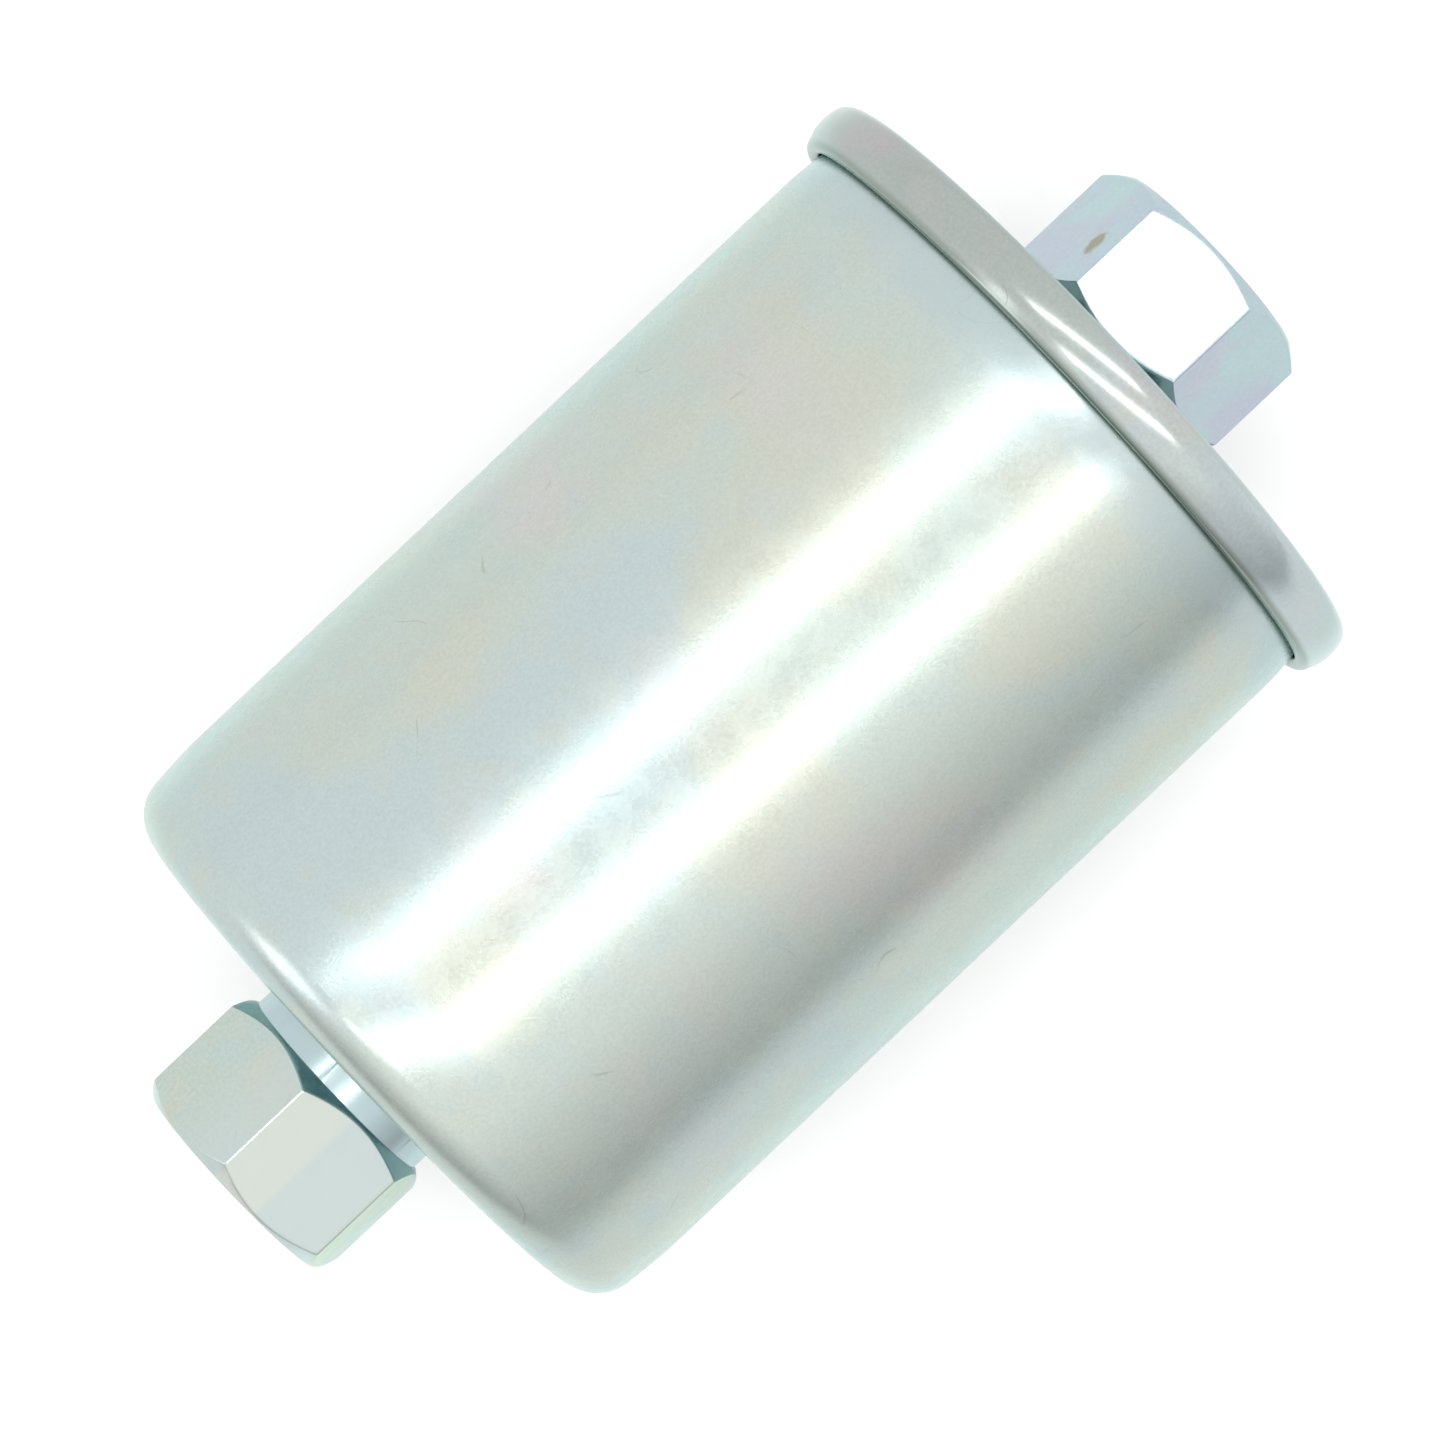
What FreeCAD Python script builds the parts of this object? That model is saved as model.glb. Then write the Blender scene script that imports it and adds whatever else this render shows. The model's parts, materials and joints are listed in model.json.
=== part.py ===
"""In-line fuel filter with a screwed port at each end.

A deep-drawn steel can is closed by a stamped end cover, whose edge is rolled round the can's edge as a
double seam. A hexagon fitting with a female thread is brazed into the can's base, the inlet, and another into
the end cover, the outlet. Inside, a coil spring pushes a pleated paper element along the outlet fitting's
nozzle, where a rubber grommet seals it. Fuel comes in at the can's base, flows round the element, in through
the paper and the perforated core tube, and out along the nozzle.

Frame, in millimetres: +X is the flow axis, from the inlet port to the outlet port, and +Z is up. The origin
is on the axis, halfway between the two port faces. An outline of a round part is drawn with its x along the
axis and its y as the radius.
"""
import FreeCAD, Part

import math
import os

# ---- driving dimensions ----
CAN_D = 55.0            # outside of the can
BODY_L = 78.5           # between the two faces that the fittings' collars sit on
SHEET = 0.5             # can and end cover
BASE_BEND_R = 3.6       # outside radius where the can's base meets its wall
SEAM_H = 4.6            # rolled seam, along the axis
RIM_RISE = 1.4          # top of the rolled seam above the outlet fitting's seat
SEAM_GAP = 0.05         # between two layers of the seam

HEX_AF = 19.0           # across the flats
HEX_L = 11.1
HEX_EDGE_R = 0.3        # rounding of the six long edges
HEX_FACE_R = 9.2        # flat end of the hexagon, inside its chamfer
HEX_CHAMFER_ANGLE = 38  # from the plane of the end, in degrees
INLET_HEX_ANGLE = 7.7   # of one long edge, from +Z towards +Y, in degrees
OUTLET_HEX_ANGLE = -26.5    # likewise
COLLAR_D = 17.9
COLLAR_L = 2.8
SHANK_R = 7.0           # goes through the sheet metal
PORT_R = 6.19           # tapped bore of M14 x 1.5, at the thread's inner diameter
PORT_DEPTH = 12.0       # from the port's face to the end of its thread
PORT_CHAMFER = 0.8
PILOT_R = 4.8           # takes the end of the fuel line's tube
PILOT_DEPTH = 15.4
PASSAGE_R = 3.5
INLET_SHANK_L = 3.8     # from the collar's seat
OUTLET_SHANK_L = 4.5    # from the collar's seat to the shoulder that stops the grommet
NOZZLE_R = 5.9
NOZZLE_L = 8.5          # beyond that shoulder
NOZZLE_CHAMFER = 0.6    # leads the grommet on
BRAZE = 1.2             # leg of the fillet of braze

CAP_R = 24.7            # element's end caps
CAP_SHEET = 0.4
CAP_FLANGE = 3.0
POTTING = 2.2           # depth of the plastisol in each cap
POTTING_FLOOR = 0.6     # of which lies between the cap and the paper
GROMMET_BEAD = 1.5      # grommet, outside its cap
GROMMET_NECK_R = 7.4    # in its cap's hole
GROMMET_LEAD = 2.4      # inside its cap
CLOSED_CAP_SEAT = 10.65    # outside of the can's base to the spring's end on the closed cap
TAB_R = 26.5            # tips of the three tabs that centre the closed cap in the can
TAB_W = 5.0
PLEATS = 40
PLEAT_OUTER_R = 23.4    # over the paper's mid-line
PLEAT_INNER_R = 9.4
PAPER = 0.45
CORE_R = 8.5            # outside of the perforated core tube
CORE_SHEET = 0.5
HOLE_D = 3.0            # in the core tube
HOLES_ROUND = 8
HOLE_PITCH = 4.4
SPRING_R = 9.4          # to the wire's centre
SPRING_WIRE = 1.2
ACTIVE_COILS = 2.5
SEAT_COILS = 1.0        # closed and ground flat, at each end

# ---- planes across the flow axis ----
X_BASE = -BODY_L / 2                            # outside of the can's base, the inlet fitting's seat
X_COVER = BODY_L / 2                            # outside of the end cover, the outlet fitting's seat
X_RIM = X_COVER + RIM_RISE
X_SEAM = X_RIM - SEAM_H                         # underside of the rolled seam
X_SHOULDER = X_COVER - OUTLET_SHANK_L           # where the outlet fitting stops the grommet
X_OPEN_CAP = X_SHOULDER - GROMMET_BEAD          # outside of the open end cap
X_CLOSED_CAP = X_BASE + CLOSED_CAP_SEAT         # outside of the closed end cap

CAN_R = CAN_D / 2
TOUCHING = 1e-6

ORIGIN = FreeCAD.Vector(0, 0, 0)
FLOW_AXIS = FreeCAD.Vector(1, 0, 0)


# ---- helpers ----
def flat_face(points):
    corners = [FreeCAD.Vector(x, y, 0) for x, y in points]
    return Part.Face(Part.makePolygon([*corners, corners[0]]))


def box_face(x0, x1, y0, y1):
    return flat_face([(x0, y0), (x1, y0), (x1, y1), (x0, y1)])


def turned(outline):
    """The solid of revolution of a face about the flow axis."""
    return outline.revolve(ORIGIN, FLOW_AXIS, 360)


def across_flow(shape):
    """Turns a shape drawn in x and y to stand across the flow axis: its x along +Y and its y along +Z."""
    shape.rotate(ORIGIN, FreeCAD.Vector(1, 1, 1), 120)
    return shape


def bend_arc(before, corner, after, radius):
    """Start, middle, end and centre of the arc that rounds a corner."""
    back = (before - corner).normalize()
    onward = (after - corner).normalize()
    half = back.getAngle(onward) / 2
    centre = corner + (back + onward).normalize() * (radius / math.sin(half))
    reach = radius / math.tan(half)
    middle = centre + (corner - centre).normalize() * radius
    return corner + back * reach, middle, corner + onward * reach, centre


def sheet_side(corners, offset):
    """Edges along one side of a bent sheet: its mid-line, moved to the left by offset."""
    points = [FreeCAD.Vector(x, y, 0) for x, y, bend_r in corners]

    def beside(end, start, finish):
        along = (finish - start).normalize()
        return end + FreeCAD.Vector(-along.y, along.x, 0) * offset

    edges = []
    here = beside(points[0], points[0], points[1])
    for before, corner, after, (x, y, bend_r) in zip(points, points[1:], points[2:], corners[1:]):
        *arc, centre = bend_arc(before, corner, after, bend_r)
        turn = math.copysign(1, (corner - before).cross(after - corner).z)
        first, middle, last = (centre + (p - centre) * (1 - turn * offset / bend_r) for p in arc)
        if here.distanceToPoint(first) > TOUCHING:
            edges.append(Part.LineSegment(here, first).toShape())
        edges.append(Part.Arc(first, middle, last).toShape())
        here = last
    end = beside(points[-1], points[-2], points[-1])
    edges.append(Part.LineSegment(here, end).toShape())
    return edges


def bent_sheet(corners, thickness=SHEET):
    """Section of a bent sheet. Its mid-line runs through corners of (x, y, bend radius)."""
    left = sheet_side(corners, thickness / 2)
    right = sheet_side(corners, -thickness / 2)
    starts = [edges[0].firstVertex(True).Point for edges in (left, right)]
    ends = [edges[-1].lastVertex(True).Point for edges in (left, right)]
    closing = [Part.LineSegment(*pair).toShape() for pair in (starts, ends)]
    return Part.Face(Part.Wire(Part.__sortEdges__(left + right + closing)))


def save(name, shape):
    """Writes one node, after checking that each of its solids is sound."""
    assert shape.isValid() and shape.Solids, name
    assert all(solid.isClosed() and solid.Volume > 0 for solid in shape.Solids), name
    shape.exportStep(os.path.join("parts", name + ".step"))
    print(f"{name}: {len(shape.Solids)} solid(s), {shape.Volume:.1f} mm3")


# ---- can, end cover and their seam ----
# From the inside out, the seam's layers are the cover's chuck wall, the can's wall, the cover's hook, the
# can's hook and the cover's outer wall.
LAYER = SHEET + SEAM_GAP
CAN_WALL_R = CAN_R - SHEET / 2
NECKING = 0.03                                  # how far the seaming rolls press the can's wall in
CHUCK_WALL_R = CAN_WALL_R - LAYER - NECKING
COVER_HOOK_R = CAN_WALL_R + LAYER
CAN_HOOK_R = CAN_WALL_R + 2 * LAYER
SEAM_BULGE = 0.12                               # the outer layer stands off the can's hook
SEAM_CREST_R = CAN_WALL_R + 3 * LAYER + SEAM_BULGE
NECK_WALL_R = CAN_WALL_R - NECKING
X_NECK = -X_BASE - BASE_BEND_R                  # where the necking begins, just short of the seam
NECK_TAPER = 1.0                                # its length
NECK_BEND_R = 10.0
X_CURL = X_RIM - SHEET * 1.5 - SEAM_GAP         # mid-line of the can's edge where it folds over
CAN_HOOK_TIP = X_SEAM + 1.6
COVER_HOOK_TIP = X_SEAM + 2.7
COVER_LIP_R = 0.38                              # bends of the fold at the seam's underside
COVER_LIP_WALL_R = COVER_HOOK_R + 0.8           # cover's outer wall, just above that fold
CREST_START = X_SEAM + 2.2                      # from here the cover's outer wall is a cylinder
COVER_DISC_R = 18.6                             # raised middle of the cover, where it starts to slope
GROOVE_R = 23.0                                 # foot of that slope, in the groove
X_GROOVE = X_RIM - 5.6                          # mid-line of the groove's floor


def can_section():
    """Drawn cup. Its edge is folded outwards and down, to hook behind the cover's edge."""
    x_base = X_BASE + SHEET / 2
    curl_r = (CAN_HOOK_R - NECK_WALL_R) / 2
    return bent_sheet([
        (x_base, SHANK_R, 0),
        (x_base, CAN_WALL_R, BASE_BEND_R - SHEET / 2),
        (X_NECK, CAN_WALL_R, NECK_BEND_R),
        (X_NECK + NECK_TAPER, NECK_WALL_R, NECK_BEND_R),
        (X_CURL, NECK_WALL_R, curl_r),
        (X_CURL, CAN_HOOK_R, curl_r),
        (CAN_HOOK_TIP, CAN_HOOK_R, 0),
    ])


def cover_section():
    """Stamped cover: a raised middle, a groove round it, and an edge rolled round the can's edge."""
    x_middle = X_COVER - SHEET / 2
    x_top = X_RIM - SHEET / 2
    x_lip = X_SEAM + SHEET / 2
    top_bend_r = (SEAM_CREST_R - CHUCK_WALL_R) / 2
    return bent_sheet([
        (x_middle, SHANK_R, 0),
        (x_middle, COVER_DISC_R, 1.5),
        (X_GROOVE, GROOVE_R, 1.2),
        (X_GROOVE, CHUCK_WALL_R, 1.2),
        (x_top, CHUCK_WALL_R, top_bend_r),
        (x_top, SEAM_CREST_R, top_bend_r),
        (CREST_START, SEAM_CREST_R, 2.0),
        (x_lip, COVER_LIP_WALL_R, COVER_LIP_R),
        (x_lip, COVER_HOOK_R, COVER_LIP_R),
        (COVER_HOOK_TIP, COVER_HOOK_R, 0),
    ])


def seam_compound():
    """Sealing compound in the two pockets that the hooks' tips leave."""
    pockets = (
        box_face(X_SEAM + SHEET / 2, CAN_HOOK_TIP, COVER_HOOK_R, COVER_LIP_WALL_R),
        box_face(COVER_HOOK_TIP, X_CURL, CAN_WALL_R, CAN_HOOK_R),
    )
    sheets = [can_section(), cover_section()]
    return Part.makeCompound([turned(face) for pocket in pockets for face in pocket.cut(sheets).Faces])


# ---- screwed fittings ----
def hexagon(x0, x1, edge_angle):
    """Hexagon between two planes, chamfered at both ends, with one long edge at an angle from +Z to +Y."""
    across_corners = HEX_AF / math.cos(math.pi / 6)
    corner_angles = [math.radians(edge_angle + 60 * i) for i in range(6)]
    outline = flat_face([(across_corners / 2 * math.sin(a), across_corners / 2 * math.cos(a))
                         for a in corner_angles])
    prism = across_flow(outline).extrude(FreeCAD.Vector(x1 - x0, 0, 0))
    prism.translate(FreeCAD.Vector(x0, 0, 0))
    long_edges = [e for e in prism.Edges if abs(e.tangentAt(e.FirstParameter).x) > 0.99]
    blank = prism.makeFillet(HEX_EDGE_R, long_edges)
    chamfer_l = (across_corners / 2 - HEX_FACE_R) * math.tan(math.radians(HEX_CHAMFER_ANGLE))
    envelope = flat_face([
        (x0, 0), (x0, HEX_FACE_R), (x0 + chamfer_l, across_corners / 2),
        (x1 - chamfer_l, across_corners / 2), (x1, HEX_FACE_R), (x1, 0),
    ])
    return blank.common(turned(envelope))


def fitting(edge_angle, inner_outline, passage_end):
    """A fitting with its collar's seat at x = 0, its port face at x = +(collar + hexagon), for either end.

    inner_outline gives (x, y) corners of what lies behind the seat, and passage_end is its last x."""
    x_hex = COLLAR_L
    x_face = COLLAR_L + HEX_L
    collar = box_face(0, COLLAR_L, 0, COLLAR_D / 2)
    body = turned(collar).fuse([turned(flat_face(inner_outline)), hexagon(x_hex, x_face, edge_angle)])
    bores = [
        flat_face([
            (x_face, 0), (x_face, PORT_R + PORT_CHAMFER), (x_face - PORT_CHAMFER, PORT_R),
            (x_face - PORT_DEPTH, PORT_R), (x_face - PORT_DEPTH, 0),
        ]),
        box_face(x_face - PILOT_DEPTH, x_face - PORT_DEPTH, 0, PILOT_R),
        box_face(passage_end, x_face - PILOT_DEPTH, 0, PASSAGE_R),
    ]
    return body.cut([turned(bore) for bore in bores]).removeSplitter()


def outlet_fitting():
    """Has a nozzle behind its shank, which the element's grommet slides on."""
    nozzle_end = -OUTLET_SHANK_L - NOZZLE_L
    part = fitting(OUTLET_HEX_ANGLE, [
        (0, 0), (0, SHANK_R), (-OUTLET_SHANK_L, SHANK_R), (-OUTLET_SHANK_L, NOZZLE_R),
        (nozzle_end + NOZZLE_CHAMFER, NOZZLE_R), (nozzle_end, NOZZLE_R - NOZZLE_CHAMFER), (nozzle_end, 0),
    ], nozzle_end)
    part.translate(FreeCAD.Vector(X_COVER, 0, 0))
    return part


def inlet_fitting():
    """The same fitting with a plain shank, turned end for end."""
    shank = [(0, 0), (0, SHANK_R), (-INLET_SHANK_L, SHANK_R), (-INLET_SHANK_L, 0)]
    part = fitting(-INLET_HEX_ANGLE, shank, -INLET_SHANK_L)
    part.rotate(ORIGIN, FreeCAD.Vector(0, 0, 1), 180)
    part.translate(FreeCAD.Vector(X_BASE, 0, 0))
    return part


def braze_ring(x_sheet, inward):
    """Fillet of braze round a shank, on the inside of the sheet. inward is the sign of its X direction."""
    leg = inward * BRAZE
    return turned(flat_face([(x_sheet, SHANK_R), (x_sheet + leg, SHANK_R), (x_sheet, SHANK_R + BRAZE)]))


# ---- filter element ----
MEDIA_X0 = X_CLOSED_CAP + CAP_SHEET + POTTING_FLOOR
MEDIA_X1 = X_OPEN_CAP - CAP_SHEET - POTTING_FLOOR
SEAM_LEG = 0.26         # half the distance between the paper's two ends, which lie flat together


def pleated_media():
    """Strip of filter paper, folded into pleats round the core, its two ends side by side in the clip."""
    def at(angle, radius, sideways):
        return (radius * math.cos(angle) - sideways * math.sin(angle),
                radius * math.sin(angle) + sideways * math.cos(angle))

    outer_half, outer_bend = 0.6, 0.5       # half the width of a fold, and its bend radius
    inner_half, inner_bend = 0.4, 0.28
    corners = [(*at(0, PLEAT_OUTER_R, SEAM_LEG), 0), (*at(0, PLEAT_INNER_R, SEAM_LEG), inner_bend)]
    for i in range(1, PLEATS):
        angle = 2 * math.pi * i / PLEATS
        corners.append((*at(angle, PLEAT_INNER_R, -inner_half), inner_bend))
        corners.append((*at(angle, PLEAT_OUTER_R, -outer_half), outer_bend))
        corners.append((*at(angle, PLEAT_OUTER_R, outer_half), outer_bend))
        corners.append((*at(angle, PLEAT_INNER_R, inner_half), inner_bend))
    corners += [(*at(0, PLEAT_INNER_R, -SEAM_LEG), inner_bend), (*at(0, PLEAT_OUTER_R, -SEAM_LEG), 0)]
    section = across_flow(bent_sheet(corners, PAPER))
    section.translate(FreeCAD.Vector(MEDIA_X0, 0, 0))
    return section.extrude(FreeCAD.Vector(MEDIA_X1 - MEDIA_X0, 0, 0))


def seam_clip():
    """Steel channel pressed over the paper's two ends, between the two layers of plastisol."""
    thickness = 0.3
    depth = 5.0
    half_width = SEAM_LEG + PAPER / 2 + thickness / 2 + 0.01
    back = PLEAT_OUTER_R + thickness / 2 + 0.15
    front = back - depth
    section = across_flow(bent_sheet([
        (front, -half_width, 0), (back, -half_width, 0.3), (back, half_width, 0.3), (front, half_width, 0),
    ], thickness))
    clip_x0 = X_CLOSED_CAP + CAP_SHEET + POTTING
    clip_x1 = X_OPEN_CAP - CAP_SHEET - POTTING
    section.translate(FreeCAD.Vector(clip_x0, 0, 0))
    return section.extrude(FreeCAD.Vector(clip_x1 - clip_x0, 0, 0))


def core_tube():
    """Tube between the two end caps, with rows of holes, every other row turned by half a step."""
    x0 = X_CLOSED_CAP + CAP_SHEET
    x1 = X_OPEN_CAP - CAP_SHEET
    tube = turned(box_face(x0, x1, CORE_R - CORE_SHEET, CORE_R))
    rows = int((x1 - x0 - 2 * POTTING - 2 * HOLE_D) / HOLE_PITCH)
    drills = []
    for row in range(rows + 1):
        x = (x0 + x1) / 2 + (row - rows / 2) * HOLE_PITCH
        for i in range(HOLES_ROUND):
            angle = 2 * math.pi * (i + row % 2 / 2) / HOLES_ROUND
            outward = FreeCAD.Vector(0, math.cos(angle), math.sin(angle))
            start = FreeCAD.Vector(x, 0, 0) + outward * (CORE_R / 2)
            drills.append(Part.makeCylinder(HOLE_D / 2, CORE_R, start, outward))
    return tube.cut(drills)


def closed_end_cap():
    """Stamped disc with a flange round the paper, a boss that centres the spring, and three locating tabs."""
    x = X_CLOSED_CAP + CAP_SHEET / 2
    rim_r = CAP_R - CAP_SHEET / 2
    x_boss = x - 1.5
    boss_top_r = 7.0
    boss_foot_r = 8.0
    disc = turned(bent_sheet([
        (x_boss, 0, 0), (x_boss, boss_top_r, 0.7), (x, boss_foot_r, 0.7),
        (x, rim_r, 0.6), (x + CAP_FLANGE, rim_r, 0),
    ], CAP_SHEET))
    tabs = []
    for i in range(3):
        root = FreeCAD.Vector(X_CLOSED_CAP, -TAB_W / 2, CAP_R - 2)
        tab = Part.makeBox(CAP_SHEET, TAB_W, TAB_R - root.z, root)
        tab.rotate(ORIGIN, FLOW_AXIS, 120 * i)
        tabs.append(tab)
    return disc.fuse(tabs).removeSplitter()


def open_end_cap():
    """Stamped ring with a flange round the paper, and a hole that holds the grommet."""
    x = X_OPEN_CAP - CAP_SHEET / 2
    rim_r = CAP_R - CAP_SHEET / 2
    return turned(bent_sheet([
        (x, GROMMET_NECK_R, 0), (x, rim_r, 0.6), (x - CAP_FLANGE, rim_r, 0),
    ], CAP_SHEET))


def potting(x_cap, inward, media):
    """Plastisol in an end cap, with the paper's end set into it. inward is the sign of its X direction."""
    x_floor = x_cap + inward * CAP_SHEET
    x_level = x_floor + inward * POTTING
    outer_r = CAP_R - CAP_SHEET
    corner = 0.5
    ring = turned(flat_face([
        (x_floor, CORE_R), (x_level, CORE_R), (x_level, outer_r),
        (x_floor + inward * corner, outer_r), (x_floor, outer_r - corner),
    ]))
    return ring.cut(media)


def outlet_grommet():
    """Rubber bush, snapped into the open end cap, whose outer bead stops against the fitting's shoulder."""
    bore_r = NOZZLE_R + 0.05        # slides on the nozzle
    bead_r = 8.8
    chamfer = 0.4
    barb_r = 7.9                    # catches behind the cap
    lead_r = 7.2
    x_inside = X_OPEN_CAP - CAP_SHEET
    x_lead = x_inside - GROMMET_LEAD
    return turned(flat_face([
        (X_SHOULDER, bore_r), (X_SHOULDER, bead_r - chamfer), (X_SHOULDER - chamfer, bead_r),
        (X_OPEN_CAP, bead_r), (X_OPEN_CAP, GROMMET_NECK_R), (x_inside, GROMMET_NECK_R),
        (x_inside, barb_r), (x_lead, lead_r), (x_lead, bore_r),
    ]))


def element_spring():
    """Compression spring between the can's base and the closed end cap, with closed ends ground flat."""
    x0 = X_BASE + SHEET
    x1 = X_CLOSED_CAP
    grind = SPRING_WIRE / 4
    seat_pitch = SPRING_WIRE + SEAM_GAP
    turns = ACTIVE_COILS + 2 * SEAT_COILS
    rise = x1 - x0 - SPRING_WIRE + 2 * grind
    active_pitch = (rise - 2 * SEAT_COILS * seat_pitch) / ACTIVE_COILS
    steps = 24
    points = []
    for i in range(round(turns * steps) + 1):
        turn = i / steps
        active = min(max(turn - SEAT_COILS, 0), ACTIVE_COILS)
        x = x0 + SPRING_WIRE / 2 - grind + seat_pitch * (turn - active) + active_pitch * active
        angle = 2 * math.pi * turn
        points.append(FreeCAD.Vector(x, SPRING_R * math.cos(angle), SPRING_R * math.sin(angle)))
    path = Part.BSplineCurve()
    path.interpolate(points)
    wire_section = Part.Circle(points[0], path.tangent(path.FirstParameter)[0], SPRING_WIRE / 2)
    profile = Part.Wire(wire_section.toShape())
    coil = Part.Wire(path.toShape()).makePipeShell([profile], True, True)
    slab = turned(box_face(x0, x1, 0, SPRING_R + 2 * SPRING_WIRE))
    return coil.common(slab)


# ---- write the nodes ----
os.makedirs("parts", exist_ok=True)
media = pleated_media()
save("can", turned(can_section()))
save("end_cover", turned(cover_section()))
save("seam_compound", seam_compound())
save("inlet_fitting", inlet_fitting())
save("outlet_fitting", outlet_fitting())
save("inlet_braze", braze_ring(X_BASE + SHEET, 1))
save("outlet_braze", braze_ring(X_COVER - SHEET, -1))
save("element_spring", element_spring())
save("pleated_media", media)
save("seam_clip", seam_clip())
save("core_tube", core_tube())
save("closed_end_cap", closed_end_cap())
save("open_end_cap", open_end_cap())
save("closed_end_potting", potting(X_CLOSED_CAP, 1, media))
save("open_end_potting", potting(X_OPEN_CAP, -1, media))
save("outlet_grommet", outlet_grommet())
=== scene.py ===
"""Looks of an in-line fuel filter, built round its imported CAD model.

The filter lies along X, its inlet at the can's base on the -X side and its outlet at the rolled seam on the
+X side, with +Z up. An outline of a round piece is a list of (x, r), along the axis and out from it, and a
clock angle is measured from +Z towards +Y. Lengths are in metres.
"""
import json
import math

import bpy
from mathutils import Matrix, Vector, noise


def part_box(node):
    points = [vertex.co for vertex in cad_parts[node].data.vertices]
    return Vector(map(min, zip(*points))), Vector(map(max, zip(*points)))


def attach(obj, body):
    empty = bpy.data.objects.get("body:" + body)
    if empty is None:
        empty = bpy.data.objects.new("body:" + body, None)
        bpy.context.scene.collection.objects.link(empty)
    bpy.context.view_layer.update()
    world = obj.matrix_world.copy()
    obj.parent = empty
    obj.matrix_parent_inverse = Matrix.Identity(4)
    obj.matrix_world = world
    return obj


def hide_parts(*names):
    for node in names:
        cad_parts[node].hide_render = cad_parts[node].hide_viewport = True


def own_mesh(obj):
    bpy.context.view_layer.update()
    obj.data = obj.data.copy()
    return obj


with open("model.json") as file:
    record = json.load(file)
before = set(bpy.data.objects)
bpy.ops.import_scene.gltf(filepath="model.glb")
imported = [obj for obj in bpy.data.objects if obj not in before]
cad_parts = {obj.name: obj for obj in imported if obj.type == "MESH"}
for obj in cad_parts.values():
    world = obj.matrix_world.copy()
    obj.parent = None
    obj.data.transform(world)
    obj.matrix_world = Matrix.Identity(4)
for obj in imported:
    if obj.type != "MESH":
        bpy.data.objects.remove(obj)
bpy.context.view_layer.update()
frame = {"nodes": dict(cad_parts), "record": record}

MM = 0.001

# ---- sizes read from the frame ----
MOUNTS = {mount["name"]: mount for mount in frame["record"]["mounts"]}
CAN_R = MOUNTS["band_seat"]["dims"]["r_mm"] * MM
PORT_R = MOUNTS["inlet_port"]["dims"]["r_mm"] * MM
X_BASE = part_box("can")[0].x
X_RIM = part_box("end_cover")[1].x
X_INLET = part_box("inlet_fitting")[0].x
X_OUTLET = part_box("outlet_fitting")[1].x
RIM_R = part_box("end_cover")[1].z
X_SPRING_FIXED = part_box("element_spring")[0].x
X_SPRING_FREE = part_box("element_spring")[1].x

# ---- sheet metal and the rolled seam, as the CAD has them ----
SHEET = 0.5 * MM
SEAM_H = 4.6 * MM
BASE_BEND_R = 3.6 * MM
SEAM_GAP = 0.05 * MM
LAYER = SHEET + SEAM_GAP
NECKING = 0.03 * MM
CAN_WALL_R = CAN_R - SHEET / 2
CHUCK_WALL_R = CAN_WALL_R - LAYER - NECKING
COVER_HOOK_R = CAN_WALL_R + LAYER
CAN_HOOK_R = CAN_WALL_R + 2 * LAYER
CREST_R = RIM_R - SHEET / 2
X_SEAM = X_RIM - SEAM_H
CAN_HOOK_TIP = X_SEAM + 1.6 * MM
COVER_HOOK_TIP = X_SEAM + 2.7 * MM
X_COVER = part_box("outlet_braze")[1].x + SHEET      # outer face of the cover's raised middle

# ---- what drawing and seaming do to the can's wall ----
DRAW_TAPER = 0.6 * MM               # drop towards the base, from X_TAPER on
X_TAPER = -32.5 * MM
TAPER_BEND_R = 45 * MM
SEAM_NECK = 0.25 * MM               # drop where it goes into the seam, from X_NECK to X_NECKED
X_NECK = 33.8 * MM
X_NECKED = X_SEAM + 0.5 * MM
X_STRAIGHT = X_SEAM + 2.2 * MM      # back out at the seam's inner wall
NECK_BEND_R = 25 * MM
SEAM_BEND_R = 2 * MM
WALL_WAVE = 0.02 * MM               # unevenness of the wall, which fades out towards its ends
WALL_WAVE_L = 13.0 * MM             # how long its waves are, and the stretch it fades over

# ---- the cover's bends, and the crown of its rolled rim ----
RISE_R = 18.6 * MM                  # where the raised middle ends
GROOVE_R = 23.0 * MM                # where the groove inside the rim begins
GROOVE_DEPTH = 5.6 * MM             # of its mid-line, below the rim's top
CROWN_R = 3.85 * MM
CROWN_FROM_SEAM = 2.5 * MM          # its highest line
CROWN_SEAM_SLOPE = math.radians(22)
CROWN_TOP_SLOPE = math.radians(16.5)
LIP_BEND_R = 0.33 * MM              # at the seam's underside

# ---- fittings ----
HEX_AF = 19.0 * MM
HEX_L = 11.1 * MM
HEX_EDGE_R = 0.3 * MM
HEX_FACE_R = 9.2 * MM
HEX_CHAMFER_SLOPE = math.tan(math.radians(38))    # its length over its drop
COLLAR_R = 8.95 * MM
COLLAR_L = 2.8 * MM
SHANK_R = 7.0 * MM
INLET_SHANK_L = 3.8 * MM
OUTLET_SHANK_L = 4.5 * MM
PORT_DEPTH = 12.0 * MM
PORT_CHAMFER = 0.8 * MM
PILOT_R = 4.8 * MM
PILOT_DEPTH = 15.4 * MM
PASSAGE_R = 3.5 * MM
NOZZLE_R = 5.9 * MM
NOZZLE_L = 8.5 * MM
NOZZLE_CHAMFER = 0.6 * MM
THREAD_PITCH = 1.5 * MM
THREAD_DEPTH = 0.81 * MM
CREST_HALF = 1 / 8                  # half of a crest's flat, as a share of the pitch
FLANK = 5 / 16                      # likewise, along the port
THREAD_END = 0.2                    # likewise, how far the thread ends from the port's bottom
INLET_HEX_ANGLE = math.radians(7.7)
OUTLET_HEX_ANGLE = math.radians(-26.5)

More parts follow.
